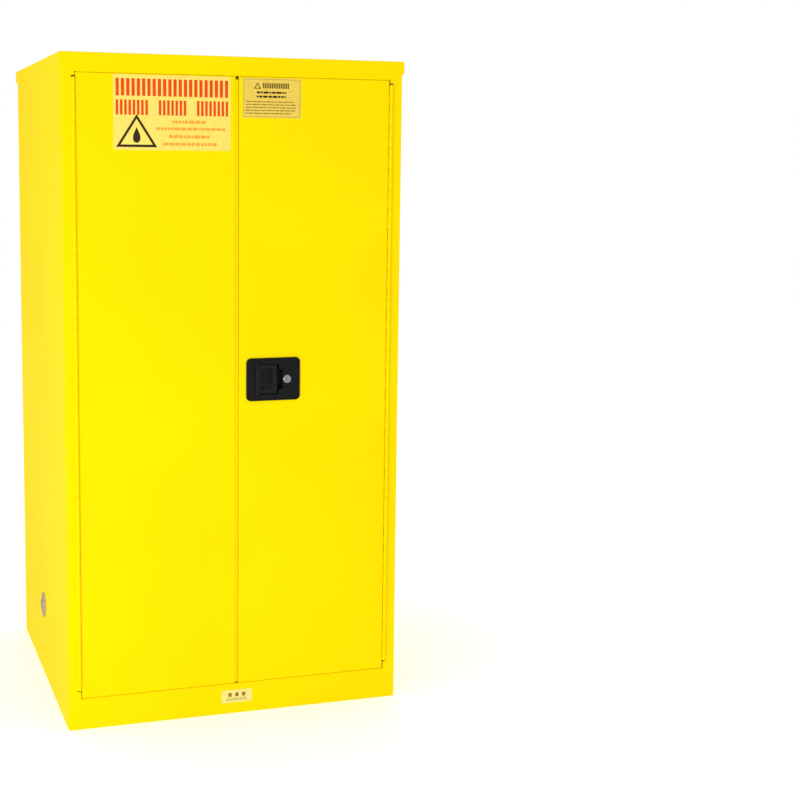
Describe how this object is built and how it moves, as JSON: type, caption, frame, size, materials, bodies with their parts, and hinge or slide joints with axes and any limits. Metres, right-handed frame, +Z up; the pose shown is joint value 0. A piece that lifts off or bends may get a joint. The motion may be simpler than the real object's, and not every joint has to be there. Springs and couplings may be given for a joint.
{
  "type": "flammable storage cabinet",
  "caption": "Double-wall sheet steel safety cabinet with hinged doors, a recessed paddle latch with locking rods, adjustable tray shelves, side vents and a spill sump.",
  "frame": {"origin": "on the floor under the middle of the cabinet", "axes": "+X to the right seen from the front, -Y towards the front (the doors), +Z up"},
  "size_m": [0.8782, 0.8659, 1.651],
  "materials": {
    "yellow_paint": "semi-gloss powder coat with a fine orange peel",
    "galvanised_steel": "satin galvanised with a faint spangle",
    "zinc_plate": "dull zinc plate with a warm passivation",
    "stainless_steel": "fine brushed",
    "black_moulding": "fine satin grain",
    "black_paddle": "satin",
    "chrome": "polished"
  },
  "bodies": {
    "cabinet": {"roof_cap": "yellow_paint", "left_outer_side": "yellow_paint", "right_outer_side": "yellow_paint", "outer_back": "yellow_paint", "outer_floor": "yellow_paint", "left_stile": "yellow_paint", "right_stile": "yellow_paint", "header": "yellow_paint", "base_front": "yellow_paint", "door_stops": "yellow_paint", "top_strike": "stainless_steel", "bottom_strike": "stainless_steel", "left_liner": "yellow_paint", "right_liner": "yellow_paint", "back_liner": "yellow_paint", "top_liner": "yellow_paint", "sump_pan": "yellow_paint", "lower_shelf": "galvanised_steel", "upper_shelf": "galvanised_steel", "shelf_standards": "galvanised_steel", "shelf_clips": "galvanised_steel", "left_vent_tube": "zinc_plate", "right_vent_tube": "zinc_plate", "left_vent_cap": "zinc_plate", "right_vent_cap": "zinc_plate", "flame_arresters": "stainless_steel", "ground_stud": "zinc_plate", "left_hinge_frame_leaf": "yellow_paint", "right_hinge_frame_leaf": "yellow_paint", "left_hinge_pin": "zinc_plate", "right_hinge_pin": "zinc_plate"},
    "left_door": {"left_door_skin": "yellow_paint", "left_door_liner": "yellow_paint", "left_hinge_door_leaf": "yellow_paint", "astragal": "yellow_paint", "centre_keeper": "zinc_plate"},
    "right_door": {"right_door_skin": "yellow_paint", "right_door_liner": "yellow_paint", "right_hinge_door_leaf": "yellow_paint", "handle_pan": "black_moulding", "paddle_pin": "zinc_plate", "latch_bracket": "zinc_plate", "hub_stud": "zinc_plate", "rod_guides": "zinc_plate", "pan_screws": "zinc_plate", "lock_cylinder": "chrome", "return_spring": "zinc_plate"},
    "paddle": {"paddle": "black_paddle"},
    "latch_hub": {"latch_hub": "zinc_plate"},
    "upper_rod": {"upper_rod": "stainless_steel"},
    "lower_rod": {"lower_rod": "stainless_steel"},
    "centre_bolt": {"centre_bolt": "stainless_steel"},
    "lock": {"lock_plug": "chrome", "lock_cam": "zinc_plate"}
  },
  "joints": [
    {"name": "left_door_hinge", "type": "hinge", "parent": "cabinet", "child": "left_door", "pos_m": [-0.3996, -0.428, 0.84], "axis": [0, 0, -1], "range_deg": [0, 175]},
    {"name": "right_door_hinge", "type": "hinge", "parent": "cabinet", "child": "right_door", "pos_m": [0.3996, -0.428, 0.84], "axis": [0, 0, 1], "range_deg": [0, 175]},
    {"name": "paddle_pull", "type": "hinge", "parent": "right_door", "child": "paddle", "pos_m": [0.05, -0.4246, 0.858], "axis": [0, 0, -1], "range_deg": [0, 35]},
    {"name": "hub_turn", "type": "hinge", "parent": "right_door", "child": "latch_hub", "pos_m": [0.0926, -0.4026, 0.858], "axis": [0, -1, 0], "range_deg": [0, 35.2], "stiffness_Nm_per_rad": 0.4, "springref_deg": -20.05},
    {"name": "upper_rod_slide", "type": "slide", "parent": "right_door", "child": "upper_rod", "axis": [0, 0, -1], "range_m": [0, 0.012]},
    {"name": "lower_rod_slide", "type": "slide", "parent": "right_door", "child": "lower_rod", "axis": [0, 0, 1], "range_m": [0, 0.0121]},
    {"name": "centre_bolt_slide", "type": "slide", "parent": "right_door", "child": "centre_bolt", "axis": [1, 0, 0], "range_m": [0, 0.0121]},
    {"name": "lock_turn", "type": "hinge", "parent": "right_door", "child": "lock", "pos_m": [0.128, -0.4176, 0.858], "axis": [0, -1, 0], "range_deg": [0, 90]}
  ],
  "couplings": [
    {"joint": "paddle_pull", "follows": "upper_rod_slide", "rad_per_m": 50.786},
    {"joint": "hub_turn", "follows": "upper_rod_slide", "rad_per_m": 50.786},
    {"joint": "lower_rod_slide", "follows": "upper_rod_slide", "ratio": 1},
    {"joint": "centre_bolt_slide", "follows": "upper_rod_slide", "ratio": 1}
  ]
}
